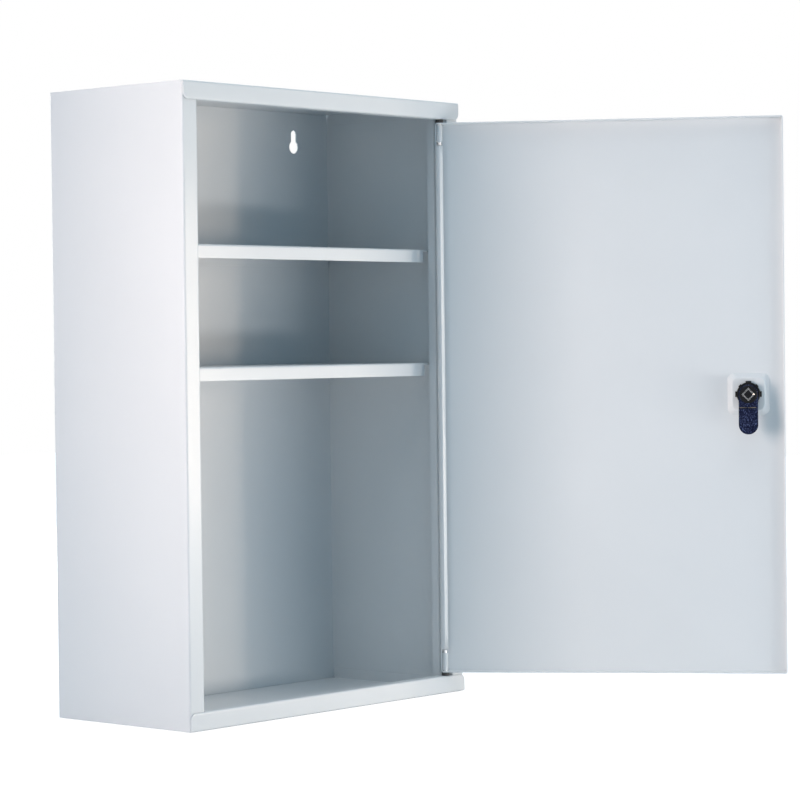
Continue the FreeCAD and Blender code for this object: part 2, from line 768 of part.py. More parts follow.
def make_lock_housing():
    """Lock body: round face, flatted barrel, plug bore and the recess that stops the turn."""
    body = new_body("lock_housing")
    middle = (ZERO, ZERO)
    fit = s.lock_clearance * 2
    face = depth_sketch(body, "face", lock_front)
    draw_circle(face, middle, s.lock_face)
    add_pad(body, face, s.lock_face_depth, backward=True)
    soften(body, edges_at(body, (1,), (lock_front,)), s.lock_face_edge)
    barrel = depth_sketch(body, "barrel", s.dish_depth)
    draw_flatted_circle(barrel, middle, s.lock_barrel, s.lock_flats)
    add_pad(body, barrel, s.lock_length, backward=True)
    bore = depth_sketch(body, "bore", lock_front - s.overrun)
    draw_circle(bore, middle, s.plug_diameter + fit)
    add_pocket(body, bore, s.lock_face_depth + s.lock_length + s.overrun * 2)
    seat = depth_sketch(body, "seat", lock_front - s.overrun)
    draw_circle(seat, middle, s.plug_head + fit)
    add_pocket(body, seat, s.overrun + s.plug_head_depth + s.lock_clearance)
    recess = depth_sketch(body, "recess", lock_rear + s.overrun)
    edge = -s.stop_tab_width / 2 - s.lock_clearance
    draw_box(recess, (edge, edge), (s.lock_barrel, s.lock_barrel))
    add_pocket(body, recess, s.overrun + s.stop_tab_depth + s.lock_clearance, backward=True)
    return body


def make_lock_nut():
    """Ring nut with lugs and small teeth round it."""
    body = new_body("lock_nut")
    start = s.dish_depth + s.gauge
    ring = depth_sketch(body, "ring", start)
    draw_circle(ring, (ZERO, ZERO), s.nut_diameter)
    add_pad(body, ring, s.nut_depth, backward=True)
    soften(body, edges_at(body, (1,), (start + s.nut_depth,)), s.nut_edge, "Chamfer")
    for name, width, reach, count in (
        ("tooth", s.nut_tooth_width, s.nut_tooth_reach, TOOTH_COUNT),
        ("lug", s.nut_lug_width, s.nut_lug_reach, LUG_COUNT),
    ):
        sketch = depth_sketch(body, name, start)
        draw_box(sketch, (-width / 2, s.lock_barrel / 2), (width / 2, reach))
        pad = add_pad(body, sketch, s.nut_depth - s.nut_edge, backward=True)
        around = body.newObject("PartDesign::PolarPattern", f"lock_nut_{name}s")
        around.Originals = [pad]
        around.Axis = (sketch, ["N_Axis"])
        around.Angle = FULL_TURN
        around.Occurrences = count
        body.Tip = around
        document.recompute()
    bore = depth_sketch(body, "bore", start - s.overrun)
    draw_circle(bore, (ZERO, ZERO), s.lock_barrel + s.lock_clearance * 2)
    add_pocket(body, bore, s.nut_depth + s.overrun * 2)
    return body


def make_lock_plug():
    """Plug with head, keyway, wafer slots and square shank."""
    body = new_body("lock_plug")
    middle = (ZERO, ZERO)
    head = depth_sketch(body, "head", lock_front)
    draw_circle(head, middle, s.plug_head)
    add_pad(body, head, s.plug_head_depth, backward=True)
    core = depth_sketch(body, "core", lock_front)
    draw_circle(core, middle, s.plug_diameter)
    add_pad(body, core, lock_rear - lock_front, backward=True)
    shank = depth_sketch(body, "shank", lock_front)
    draw_cut_diamond(shank, s.shank_side, s.shank_corner)
    add_pad(body, shank, shank_rear - lock_front, backward=True)
    soften(body, edges_at(body, (1,), (shank_rear,)), s.shank_edge, "Chamfer")
    dimple = depth_sketch(body, "dimple", shank_rear + s.overrun)
    draw_circle(dimple, middle, s.shank_dimple)
    add_pocket(body, dimple, s.overrun + s.shank_dimple_depth, backward=True)
    keyway = depth_sketch(body, "keyway", lock_front - s.overrun)
    reach = (s.keyway_width / 2, s.keyway_height / 2)
    draw_box(keyway, (-reach[0], -reach[1]), reach)
    add_pocket(body, keyway, s.keyway_depth + s.overrun)
    slots = new_sketch(body, "XY_Plane", "slots", s.plug_diameter)
    half = s.wafer_width / 2 + s.lock_clearance
    for index in range(WAFER_COUNT):
        start = lock_front + s.wafer_first + s.wafer_pitch * index
        low = (-half, start - s.lock_clearance)
        draw_box(slots, low, (half, start + s.wafer_depth + s.lock_clearance))
    add_pocket(body, slots, s.plug_diameter * 2)
    return body


def make_lock_wafers():
    """Wafers with a key window, in a row along the plug."""
    body = new_body("lock_wafers")
    body.AllowCompound = True
    wafer = depth_sketch(body, "wafer", lock_front + s.wafer_first)
    plug_radius = s.plug_diameter / 2
    half_width_of_wafer = s.wafer_width / 2
    flush = root(plug_radius * plug_radius - half_width_of_wafer * half_width_of_wafer)
    half = (half_width_of_wafer, flush)
    draw_box(wafer, (-half[0], -half[1]), half)
    window = (s.wafer_window / 2, half[1] - s.wafer_bridge)
    draw_box(wafer, (-window[0], -window[1]), window)
    first = add_pad(body, wafer, s.wafer_depth, backward=True)
    rank = body.newObject("PartDesign::LinearPattern", "lock_wafers_row")
    rank.Originals = [first]
    rank.Direction = (wafer, ["N_Axis"])
    rank.Reversed = True
    rank.setExpression("Length", (s.wafer_pitch * (WAFER_COUNT - 1)).text)
    rank.Occurrences = WAFER_COUNT
    body.Tip = rank
    document.recompute()
    return body


def make_stop_washer():
    """Washer on the shank whose tab runs in the barrel's recess."""
    body = new_body("lock_stop_washer")
    disc = depth_sketch(body, "disc", stop_washer_front)
    draw_circle(disc, (ZERO, ZERO), s.stop_diameter)
    draw_diamond(disc, s.shank_side + s.lock_clearance * 2)
    add_pad(body, disc, s.stop_depth, backward=True)
    tab = depth_sketch(body, "tab", stop_washer_front + s.stop_depth / 2)
    half = s.stop_tab_width / 2
    inner = s.plug_diameter / 2 + s.lock_clearance * 2
    draw_box(tab, (-half, inner), (half, inner + s.stop_tab_wall))
    add_pad(body, tab, s.stop_tab_depth + s.stop_depth / 2)
    return body


def make_lock_cam():
    """Cranked tongue with a square hole and round ends."""
    body = new_body("lock_cam")
    half = s.cam_width / 2
    crank = -s.cam_crank_drop
    step = crank - s.cam_crank_run
    profile = new_sketch(body, "YZ_Plane", "profile", -half)
    front_line = [
        (cam_front, half),
        (cam_front, crank),
        (cam_front + s.cam_crank_step, step),
        (cam_front + s.cam_crank_step, -s.cam_reach),
    ]
    rear_line = [(y + s.cam_depth, z) for y, z in front_line[::-1]]
    draw_outline(profile, front_line + rear_line)
    add_pad(body, profile, s.cam_width)
    edges = []
    for x in (-half, half):
        for z in (half, -s.cam_reach):
            edges += edges_at(body, (0, 2), (x, z))
    soften(body, edges, half - s.weld_seam)
    hole = depth_sketch(body, "hole", cam_front - s.overrun)
    draw_diamond(hole, s.shank_side + s.lock_clearance * 2)
    add_pocket(body, hole, s.cam_depth + s.overrun * 2)
    return body


def make_cam_retainer():
    """Push-on disc that holds the cam on the shank."""
    body = new_body("cam_retainer")
    disc = depth_sketch(body, "disc", retainer_front)
    draw_circle(disc, (ZERO, ZERO), s.retainer_diameter)
    add_pad(body, disc, s.retainer_depth, backward=True)
    soften(body, edges_at(body, (1,), (retainer_rear,)), s.retainer_edge, "Chamfer")
    hole = depth_sketch(body, "hole", retainer_front - s.overrun)
    draw_diamond(hole, s.shank_side + s.lock_clearance * 2)
    add_pocket(body, hole, s.retainer_depth + s.overrun * 2)
    return body


def make_cabinet():
    """All pieces, each at its place."""
    wrap = make_body_wrap()
    top = make_tray("top_tray", 1)
    place(top, ZERO, ZERO, s.height)
    bottom = make_tray("bottom_tray", -1)
    place(bottom, ZERO, ZERO, ZERO, ACROSS_DEPTH, HALF_TURN)
    shelves = []
    for label, level in (
        ("shelf_upper", s.upper_shelf_height),
        ("shelf_lower", s.lower_shelf_height),
    ):
        shelf = make_shelf(label)
        place(shelf, ZERO, ZERO, level)
        shelves.append(shelf)
    door = make_door_panel()
    place_on_door(door)
    lock = [
        make_lock_housing(),
        make_lock_nut(),
        make_lock_plug(),
        make_lock_wafers(),
        make_stop_washer(),
        make_lock_cam(),
        make_cam_retainer(),
    ]
    for body in lock:
        place_on_lock(body)
    return [wrap, top, bottom, door] + shelves + make_hinges() + lock


pieces = make_cabinet()
document.recompute()
for item in document.Objects:
    if "Invalid" in item.State or "Error" in item.State:
        raise RuntimeError(f"{item.Name} failed: {item.State}")
for piece in pieces:
    if piece.Shape.isNull() or not piece.Shape.isValid():
        raise RuntimeError(f"{piece.Label} has no valid shape")
os.makedirs("parts", exist_ok=True)
for piece in pieces:
    piece.Shape.exportStep(f"parts/{piece.Label}.step")
    print(piece.Label, len(piece.Shape.Solids), round(piece.Shape.Volume, 1))
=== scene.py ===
# %% [markdown]
# # A wall-hung steel medicine cabinet
# The cabinet was drawn first as solids: folded sheets, hinges and a lock. This lesson dresses
# those solids. The frame is loaded once, it stays where it is, and every finish and small piece
# below is worked out from it, in metres.

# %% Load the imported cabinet
import json
import math

import bmesh
import bpy
import numpy as np
from mathutils import Matrix, Vector


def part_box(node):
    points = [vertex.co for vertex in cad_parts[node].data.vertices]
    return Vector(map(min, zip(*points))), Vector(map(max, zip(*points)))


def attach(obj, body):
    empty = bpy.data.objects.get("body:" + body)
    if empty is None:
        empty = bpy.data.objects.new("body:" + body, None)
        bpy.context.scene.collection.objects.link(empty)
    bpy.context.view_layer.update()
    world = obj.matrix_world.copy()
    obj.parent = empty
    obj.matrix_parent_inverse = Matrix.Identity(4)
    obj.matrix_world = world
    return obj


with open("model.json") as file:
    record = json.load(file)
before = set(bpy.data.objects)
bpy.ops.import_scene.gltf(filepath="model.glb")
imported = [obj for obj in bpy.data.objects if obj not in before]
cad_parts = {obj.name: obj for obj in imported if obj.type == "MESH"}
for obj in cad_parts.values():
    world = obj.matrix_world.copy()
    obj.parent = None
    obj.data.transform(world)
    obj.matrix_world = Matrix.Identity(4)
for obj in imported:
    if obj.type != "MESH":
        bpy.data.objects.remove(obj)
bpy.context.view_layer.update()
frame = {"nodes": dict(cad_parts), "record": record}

MM = 0.001
nodes = frame["nodes"]
joints = {joint["name"]: joint for joint in frame["record"]["behaviour"]["joints"]}

# %% [markdown]
# ## The camera
# The photograph was taken from the left of the cabinet, a little above its middle, with a long
# lens, so upright lines stay nearly upright. Its place and lens were solved from the visible
# corners of the shell. A camera object needs a matrix whose columns are its right, its up and the
# reverse of its view, so the three directions are built from two angles and a small roll.

# %% Place the camera
CAMERA_SPOT = Vector((-1543.9, -1490.3, 273.0)) * MM
CAMERA_AZIMUTH = math.radians(48.77)
CAMERA_PITCH = math.radians(-1.15)
CAMERA_ROLL = math.radians(-0.67)
CAMERA_LENS = 127.0
SENSOR_WIDTH = 36.0


def camera_matrix():
    """Right, up and backward directions from azimuth, pitch and roll, as one matrix."""
    level = math.cos(CAMERA_PITCH)
    view = Vector((
        math.sin(CAMERA_AZIMUTH) * level,
        math.cos(CAMERA_AZIMUTH) * level,
        math.sin(CAMERA_PITCH),
    ))
    flat_right = Vector((math.cos(CAMERA_AZIMUTH), -math.sin(CAMERA_AZIMUTH), 0))
    flat_up = flat_right.cross(view)
    right = flat_right * math.cos(CAMERA_ROLL) + flat_up * math.sin(CAMERA_ROLL)
    up = flat_up * math.cos(CAMERA_ROLL) - flat_right * math.sin(CAMERA_ROLL)
    turn = Matrix((right, up, -view)).transposed().to_4x4()
    return Matrix.Translation(CAMERA_SPOT) @ turn


lens = bpy.data.cameras.new("photo_lens")
lens.lens = CAMERA_LENS
lens.sensor_width = SENSOR_WIDTH
lens.sensor_fit = "HORIZONTAL"
camera = bpy.data.objects.new("photo_camera", lens)
camera.matrix_world = camera_matrix()
bpy.context.scene.collection.objects.link(camera)
bpy.context.scene.camera = camera
print("camera at", [round(v, 3) for v in camera.location])

# %% [markdown]
# ## Studio
# The photograph has a white surround. The world is white only to rays that the eye, a mirror or
# glass sends, and a dim cool grey to the rays that light the paint. The floor works the same
# way: it adds white for the eye and still takes the cabinet's shadow.

# %% White surround and floor
SKY_LIGHT = (0.20, 0.65, 1.0)
SKY_STRENGTH = 0.31
FLOOR_SIDE = 8.0
FLOOR_ALBEDO = (0.80, 0.80, 0.80)
FLOOR_LIFT = (0.92, 1.0)
FLOOR_FADE = (0.45, 1.1)
FLOOR_DROP = -0.5 * MM


def seen_rays(tree):
    """1 for camera, glossy and transmission rays, 0 for the rays that carry light."""
    path = tree.nodes.new("ShaderNodeLightPath")
    total = path.outputs["Is Camera Ray"]
    for name in ("Is Glossy Ray", "Is Transmission Ray"):
        either = tree.nodes.new("ShaderNodeMath")
        either.operation = "MAXIMUM"
        tree.links.new(total, either.inputs[0])
        tree.links.new(path.outputs[name], either.inputs[1])
        total = either.outputs[0]
    return total


def make_world():
    """White to the eye, dim and cool to the paint."""
    world = bpy.data.worlds.new("studio_world")
    world.use_nodes = True
    tree = world.node_tree
    tree.nodes.clear()
    out = tree.nodes.new("ShaderNodeOutputWorld")
    light = tree.nodes.new("ShaderNodeBackground")
    light.inputs["Color"].default_value = (*SKY_LIGHT, 1)
    light.inputs["Strength"].default_value = SKY_STRENGTH
    white = tree.nodes.new("ShaderNodeBackground")
    white.inputs["Color"].default_value = (1, 1, 1, 1)
    white.inputs["Strength"].default_value = 1.0
    mix = tree.nodes.new("ShaderNodeMixShader")
    tree.links.new(seen_rays(tree), mix.inputs["Fac"])
    tree.links.new(light.outputs[0], mix.inputs[1])
    tree.links.new(white.outputs[0], mix.inputs[2])
    tree.links.new(mix.outputs[0], out.inputs["Surface"])
    bpy.context.scene.world = world


def whiteness_by_distance(tree):
    """Lift that grows from the cabinet's foot to plain white further out."""
    coords = tree.nodes.new("ShaderNodeTexCoord")
    length = tree.nodes.new("ShaderNodeVectorMath")
    length.operation = "LENGTH"
    tree.links.new(coords.outputs["Object"], length.inputs[0])
    fade = tree.nodes.new("ShaderNodeMapRange")
    fade.inputs["From Min"].default_value, fade.inputs["From Max"].default_value = FLOOR_FADE
    fade.inputs["To Min"].default_value, fade.inputs["To Max"].default_value = FLOOR_LIFT
    tree.links.new(length.outputs["Value"], fade.inputs["Value"])
    return fade.outputs["Result"]


def make_floor():
    """Large square under the cabinet that keeps the shadow."""
    half = FLOOR_SIDE / 2
    corners = [(-half, -half, 0), (half, -half, 0), (half, half, 0), (-half, half, 0)]
    mesh = bpy.data.meshes.new("floor")
    mesh.from_pydata(corners, [], [(0, 1, 2, 3)])
    floor = bpy.data.objects.new("floor", mesh)
    floor.location.z = FLOOR_DROP
    bpy.context.scene.collection.objects.link(floor)
    material = bpy.data.materials.new("floor_white")
    material.use_nodes = True
    tree = material.node_tree
    tree.nodes.clear()
    out = tree.nodes.new("ShaderNodeOutputMaterial")
    diffuse = tree.nodes.new("ShaderNodeBsdfDiffuse")
    diffuse.inputs["Color"].default_value = (*FLOOR_ALBEDO, 1)
    lift = tree.nodes.new("ShaderNodeEmission")
    scale = tree.nodes.new("ShaderNodeMath")
    scale.operation = "MULTIPLY"
    tree.links.new(seen_rays(tree), scale.inputs[0])
    tree.links.new(whiteness_by_distance(tree), scale.inputs[1])
    tree.links.new(scale.outputs[0], lift.inputs["Strength"])
    both = tree.nodes.new("ShaderNodeAddShader")
    tree.links.new(diffuse.outputs[0], both.inputs[0])
    tree.links.new(lift.outputs[0], both.inputs[1])
    tree.links.new(both.outputs[0], out.inputs["Surface"])
    mesh.materials.append(material)


make_world()
make_floor()
print("floor side", FLOOR_SIDE)

# %% [markdown]
# ## Lamps
# Two lamps at the left light the outer side and the open door. Three stand low in front on the
# right: they light the front lips, and the door keeps them off the right half of the back, so
# the inside darkens towards its corner. A large box above fills the tops, and one behind lights
# the sides that the photograph does not show.

# %% Soft boxes round the cabinet
WARM_LEFT, WARM_SIDE = (1.0, 0.84, 0.84), (1.0, 0.84, 0.76)
WARM_FRONT, WARM_LOW, WARM_REAR = (1.0, 0.83, 0.69), (1.0, 0.80, 0.60), (1.0, 0.94, 0.88)
PLAIN = (1.0, 1.0, 1.0)
WIDE, NARROW = 180, 60
# name, place, aim, width and height in metres, spread in degrees, watts, colour
LAMPS = (
    ("side_strip", (-0.55, -0.01, 0.28), (0.0, -0.04, 0.25), (0.10, 0.90), WIDE, 0.38, WARM_LEFT),
    ("side_box", (-1.10, 0.02, 0.30), (0.2, -0.30, 0.24), (0.30, 1.00), NARROW, 1.80, WARM_SIDE),
    ("front_box", (1.30, -1.75, 0.20), (0.0, 0.0, 0.20), (0.45, 0.60), WIDE, 16.6, WARM_FRONT),
    ("front_low", (1.20, -2.00, 0.12), (0.0, 0.0, 0.22), (0.80, 0.20), WIDE, 4.0, WARM_LOW),
    ("front_near", (0.35, -0.95, 0.06), (0.0, 0.0, 0.15), (0.50, 0.08), WIDE, 1.75, PLAIN),
    ("top_box", (-0.30, -0.80, 2.40), (0.0, 0.0, 0.23), (1.50, 1.50), WIDE, 15.0, PLAIN),
    ("rear_fill", (0.90, 1.70, 0.80), (0.1, 0.0, 0.23), (1.20, 1.20), WIDE, 22.0, WARM_REAR),
)


def make_lamp(name, spot, aim, sides, spread, power, colour):
    """Rectangular area lamp at a spot, turned to face an aim point."""
    data = bpy.data.lights.new(name, "AREA")
    data.shape = "RECTANGLE"
    data.size, data.size_y = sides
    data.spread = math.radians(spread)
    data.energy = power
    data.color = colour
    lamp = bpy.data.objects.new(name, data)
    lamp.location = spot
    lamp.rotation_euler = (Vector(spot) - Vector(aim)).to_track_quat("Z", "Y").to_euler()
    lamp.visible_camera = False
    bpy.context.scene.collection.objects.link(lamp)


for lamp_row in LAMPS:
    make_lamp(*lamp_row)
print("lamps", len(LAMPS))

# %% [markdown]
# ## Finishes
# Every finish is a small node graph on one shader. Object coordinates carry the patterns, so they
# stay put when the door swings. A bevel node compares the true normal with a rounded one, which marks
# the edges where the powder coat gets a painted highlight and metal is polished.

# %% Helpers for node graphs
EDGE_SAMPLES = 6
# The occlusion mask below paints shade into tight corners and seams.
SEAM_SHADE_SAMPLES = 8
SEAM_SHADE_RANGE = (0.10, 0.55)
finishes = {}


def new_finish(name):
    """Empty material with one principled shader; returns the material, its tree and shader."""
    material = bpy.data.materials.new(name)
    material.use_nodes = True
    tree = material.node_tree
    shader = next(node for node in tree.nodes if node.type == "BSDF_PRINCIPLED")
    return material, tree, shader


def object_noise(tree, scale, detail, stretch=(1, 1, 1)):
    """Cloud pattern on Object coordinates, with so many waves per metre."""
    coords = tree.nodes.new("ShaderNodeTexCoord")
    mapping = tree.nodes.new("ShaderNodeMapping")
    mapping.inputs["Scale"].default_value = stretch
    noise = tree.nodes.new("ShaderNodeTexNoise")
    noise.inputs["Scale"].default_value = scale
    noise.inputs["Detail"].default_value = detail
    tree.links.new(coords.outputs["Object"], mapping.inputs["Vector"])
    tree.links.new(mapping.outputs["Vector"], noise.inputs["Vector"])
    return noise.outputs["Fac"]


def grey(value):
    """Colour of one value."""
    return (value, value, value)


def ramp_between(tree, factor, low, high, start=0.0, end=1.0):
    """Maps a factor from one colour to another between two positions."""
    ramp = tree.nodes.new("ShaderNodeValToRGB")
    for element, position, colour in zip(ramp.color_ramp.elements, (start, end), (low, high)):
        element.position = position
        element.color = (*colour, 1)
    tree.links.new(factor, ramp.inputs["Fac"])
    return ramp.outputs["Color"]


def link_roughness(tree, shader, factor, low, high):
    """Roughness that goes from one value to another with a factor."""
    tree.links.new(ramp_between(tree, factor, grey(low), grey(high)), shader.inputs["Roughness"])


def ramp_range(tree, value, start, end):
    """Smooth step of a value between two limits."""
    step = tree.nodes.new("ShaderNodeMapRange")
    step.interpolation_type = "SMOOTHSTEP"
    step.inputs["From Min"].default_value = start
    step.inputs["From Max"].default_value = end
    tree.links.new(value, step.inputs["Value"])
    return step.outputs["Result"]


def multiply(tree, one, other):
    """Product of two links."""
    product = tree.nodes.new("ShaderNodeMath")
    product.operation = "MULTIPLY"
    tree.links.new(one, product.inputs[0])
    tree.links.new(other, product.inputs[1])
    return product.outputs[0]


def edge_mask(tree, radius, tightness):
    """1 along edges, 0 on flats: how far a rounded normal leaves the true one."""
    bevel = tree.nodes.new("ShaderNodeBevel")
    bevel.samples = EDGE_SAMPLES
    bevel.inputs["Radius"].default_value = radius
    geometry = tree.nodes.new("ShaderNodeNewGeometry")
    dot = tree.nodes.new("ShaderNodeVectorMath")
    dot.operation = "DOT_PRODUCT"
    tree.links.new(bevel.outputs["Normal"], dot.inputs[0])
    tree.links.new(geometry.outputs["Normal"], dot.inputs[1])
    return ramp_between(tree, dot.outputs["Value"], grey(1), grey(0), 1 - tightness, 1.0)


def painted_shade_mask(tree, reach):
    """Mask for painted shade: 0 in tight corners and seams, 1 in the open: how much room is within a
    short reach.
    """
    room = tree.nodes.new("ShaderNodeAmbientOcclusion")
    room.samples = SEAM_SHADE_SAMPLES
    room.inputs["Distance"].default_value = reach
    return ramp_between(tree, room.outputs["AO"], grey(0), grey(1), *SEAM_SHADE_RANGE)


def mix_colours(tree, factor, low, high):
    """Mixes two colours or colour links by a factor link."""
    mix = tree.nodes.new("ShaderNodeMix")
    mix.data_type = "RGBA"
    tree.links.new(factor, mix.inputs["Factor"])
    for name, value in (("A", low), ("B", high)):
        socket = next(s for s in mix.inputs if s.name == name and s.type == "RGBA")
        if isinstance(value, tuple):
            socket.default_value = (*value, 1)
        else:
            tree.links.new(value, socket)
    return next(s for s in mix.outputs if s.type == "RGBA")


def keep_finish(slot, material):
    """Files a material under the slot that the record names."""
    finishes[slot] = material
    print("finish", slot, "nodes", len(material.node_tree.nodes))


def add_bump(tree, shader, height, strength, distance):
    """Fine relief from a height link."""
    bump = tree.nodes.new("ShaderNodeBump")
    bump.inputs["Strength"].default_value = strength
    bump.inputs["Distance"].default_value = distance
    tree.links.new(height, bump.inputs["Height"])
    tree.links.new(bump.outputs["Normal"], shader.inputs["Normal"])


# %% [markdown]
# ## Powder coat
# The sheets carry a pale cool grey powder coat with a satin gloss. Close up it has a faint orange
# peel and a slow drift of tone over a panel; its edges are paled as a painted highlight and its seams
# are darkened as painted shade. A noise is named by its waves per metre and its detail, and a relief
# by its strength and its depth.

# %% Powder coat on the sheets
COAT_PALE = (0.785, 0.802, 0.812)
COAT_DEEP = (0.762, 0.780, 0.792)
# Painted highlight: the colour that pales the edges of the coat.
COAT_HIGHLIGHT = (0.86, 0.87, 0.88)
# Painted shade: the colour that darkens tight corners and seams.
COAT_PAINTED_SHADE = (0.20, 0.23, 0.26)
COAT_DRIFT = (9.0, 3.0)
COAT_DRIFT_RANGE = (0.3, 0.7)
COAT_HIGHLIGHT_WIDTH = 0.6 * MM
COAT_HIGHLIGHT_TIGHTNESS = 0.35
COAT_PAINTED_SHADE_REACH = 2.5 * MM
COAT_SPECKLE = (420.0, 2.0)
COAT_ROUGHNESS = (0.30, 0.38)
COAT_PEEL = (520.0, 2.0)
COAT_PEEL_RELIEF = (0.03, 0.2 * MM)
COAT_SPECULAR = 0.4
COAT_GLOSS = 0.15
COAT_GLOSS_ROUGHNESS = 0.12


def powder_coat():
    """Pale satin coat: slow tone drift, orange peel, painted highlight on edges, painted shade in
    seams.
    """
    material, tree, shader = new_finish("powder_coat")
    drift = object_noise(tree, *COAT_DRIFT)
    tone = ramp_between(tree, drift, COAT_DEEP, COAT_PALE, *COAT_DRIFT_RANGE)
    # Painted highlight: the coat is paled towards white along its edges.
    edges = edge_mask(tree, COAT_HIGHLIGHT_WIDTH, COAT_HIGHLIGHT_TIGHTNESS)
    coat = mix_colours(tree, edges, tone, COAT_HIGHLIGHT)
    # Painted shade: tight corners and seams are darkened towards a deep grey.
    shade_in_seams = painted_shade_mask(tree, COAT_PAINTED_SHADE_REACH)
    tree.links.new(mix_colours(tree, shade_in_seams, COAT_PAINTED_SHADE, coat), shader.inputs["Base Color"])
    link_roughness(tree, shader, object_noise(tree, *COAT_SPECKLE), *COAT_ROUGHNESS)
    add_bump(tree, shader, object_noise(tree, *COAT_PEEL), *COAT_PEEL_RELIEF)
    shader.inputs["Specular IOR Level"].default_value = COAT_SPECULAR
    shader.inputs["Coat Weight"].default_value = COAT_GLOSS
    shader.inputs["Coat Roughness"].default_value = COAT_GLOSS_ROUGHNESS
    return material


keep_finish("painted_steel", powder_coat())

# %% [markdown]
# ## Black casting
# The lock's housing, nut and cam retainer have a black coat. A fine grain breaks up the black and
# roughens it, and a grey bloom runs along the edges, where hands and tools rub. The mirror part is
# kept low, because the white surround would turn the black to grey.

# %% Black casting of the lock
BLACK_DEEP = (0.003, 0.003, 0.004)
BLACK_PALE = (0.014, 0.014, 0.016)
BLACK_SPECULAR = 0.12
CAST_GRAIN = (1500.0, 3.0)
CAST_EDGE = grey(0.05)
CAST_EDGE_WIDTH = 0.25 * MM
CAST_EDGE_TIGHTNESS = 0.4
CAST_ROUGHNESS = (0.28, 0.45)
CAST_RELIEF = (0.15, 0.1 * MM)


def coated_casting():
    """Black coat with a fine grain and a grey bloom along edges."""
    material, tree, shader = new_finish("coated_casting")
    grain = object_noise(tree, *CAST_GRAIN)
    tone = ramp_between(tree, grain, BLACK_DEEP, BLACK_PALE)
    edges = edge_mask(tree, CAST_EDGE_WIDTH, CAST_EDGE_TIGHTNESS)
    tree.links.new(mix_colours(tree, edges, tone, CAST_EDGE), shader.inputs["Base Color"])
    link_roughness(tree, shader, grain, *CAST_ROUGHNESS)
    add_bump(tree, shader, grain, *CAST_RELIEF)
    shader.inputs["Specular IOR Level"].default_value = BLACK_SPECULAR
    return material


keep_finish("black_diecast", coated_casting())

# %% [markdown]
# ## Worn shank
# The plug ends in a square shank with the same black coat, worn to bright steel along its edges. A
# painted mask could mark them, but the edge mask finds them by itself. Times the distance from the
# lock's axis it leaves the dimple in the middle black.

# %% Worn shank of the plug
SHANK_GRAIN = (1800.0, 3.0)
SHANK_OUTER = (1.7 * MM, 2.2 * MM)
SHANK_EDGE_WIDTH = 0.8 * MM
SHANK_EDGE_TIGHTNESS = 0.12
SHANK_BRIGHT = grey(0.85)
SHANK_ROUGHNESS = (0.45, 0.2)
SHANK_RELIEF = (0.1, 0.1 * MM)


def from_lock_axis(tree, start, end):
    """0 near the lock's axis and 1 away from it: size of the cross product with the axis."""
    coords = tree.nodes.new("ShaderNodeTexCoord")
    offset = tree.nodes.new("ShaderNodeVectorMath")
    offset.operation = "SUBTRACT"
    offset.inputs[1].default_value = joints["lock_turn"]["pos_m"]
    cross = tree.nodes.new("ShaderNodeVectorMath")
    cross.operation = "CROSS_PRODUCT"
    cross.inputs[1].default_value = joints["lock_turn"]["axis"]
    length = tree.nodes.new("ShaderNodeVectorMath")
    length.operation = "LENGTH"
    tree.links.new(coords.outputs["Object"], offset.inputs[0])
    tree.links.new(offset.outputs[0], cross.inputs[0])
    tree.links.new(cross.outputs[0], length.inputs[0])
    return ramp_range(tree, length.outputs["Value"], start, end)


def worn_shank():
    """Black coat worn to bright steel along the square's outer edges."""
    material, tree, shader = new_finish("worn_shank")
    grain = object_noise(tree, *SHANK_GRAIN)
    tone = ramp_between(tree, grain, BLACK_DEEP, BLACK_PALE)
    worn = edge_mask(tree, SHANK_EDGE_WIDTH, SHANK_EDGE_TIGHTNESS)
    edges = multiply(tree, worn, from_lock_axis(tree, *SHANK_OUTER))
    tree.links.new(mix_colours(tree, edges, tone, SHANK_BRIGHT), shader.inputs["Base Color"])
    link_roughness(tree, shader, edges, *SHANK_ROUGHNESS)
    tree.links.new(edges, shader.inputs["Metallic"])
    add_bump(tree, shader, grain, *SHANK_RELIEF)
    shader.inputs["Specular IOR Level"].default_value = BLACK_SPECULAR
    return material


keep_finish("bright_steel", worn_shank())

# %% [markdown]
# ## Blued tongue
# The cam is a steel tongue with a dark blue coat and a fine sparkle. Where it is cranked, a broken
# pale line along the fold is a painted highlight. The line is a band of height round the fold, cut up
# by a noise, so it needs no picture and stays on the fold when the lock turns.

# %% Blued tongue with a painted highlight on its fold
FOLD_DROP = 10.1 * MM
FOLD_HEIGHT = joints["lock_turn"]["pos_m"][2] - FOLD_DROP
FOLD_HALF = 0.45 * MM
# Painted highlight: the pale tan colour of the line along the fold.
FOLD_HIGHLIGHT = (0.42, 0.36, 0.27)
FOLD_BREAKS = (420.0, 1.0)
FOLD_BREAK_RANGE = (0.35, 0.6)
TONGUE_SPARKLE = (1100.0, 3.0)
TONGUE_DEEP = (0.002, 0.004, 0.022)
TONGUE_PALE = (0.10, 0.13, 0.26)
TONGUE_RANGE = (0.50, 0.78)
TONGUE_EDGE = (0.03, 0.05, 0.12)
TONGUE_EDGE_WIDTH = 0.3 * MM
TONGUE_EDGE_TIGHTNESS = 0.4
TONGUE_ROUGHNESS = (0.26, 0.5)
TONGUE_METALLIC = 0.45
TONGUE_SPECULAR = 0.15
TONGUE_RELIEF = (0.3, 0.12 * MM)


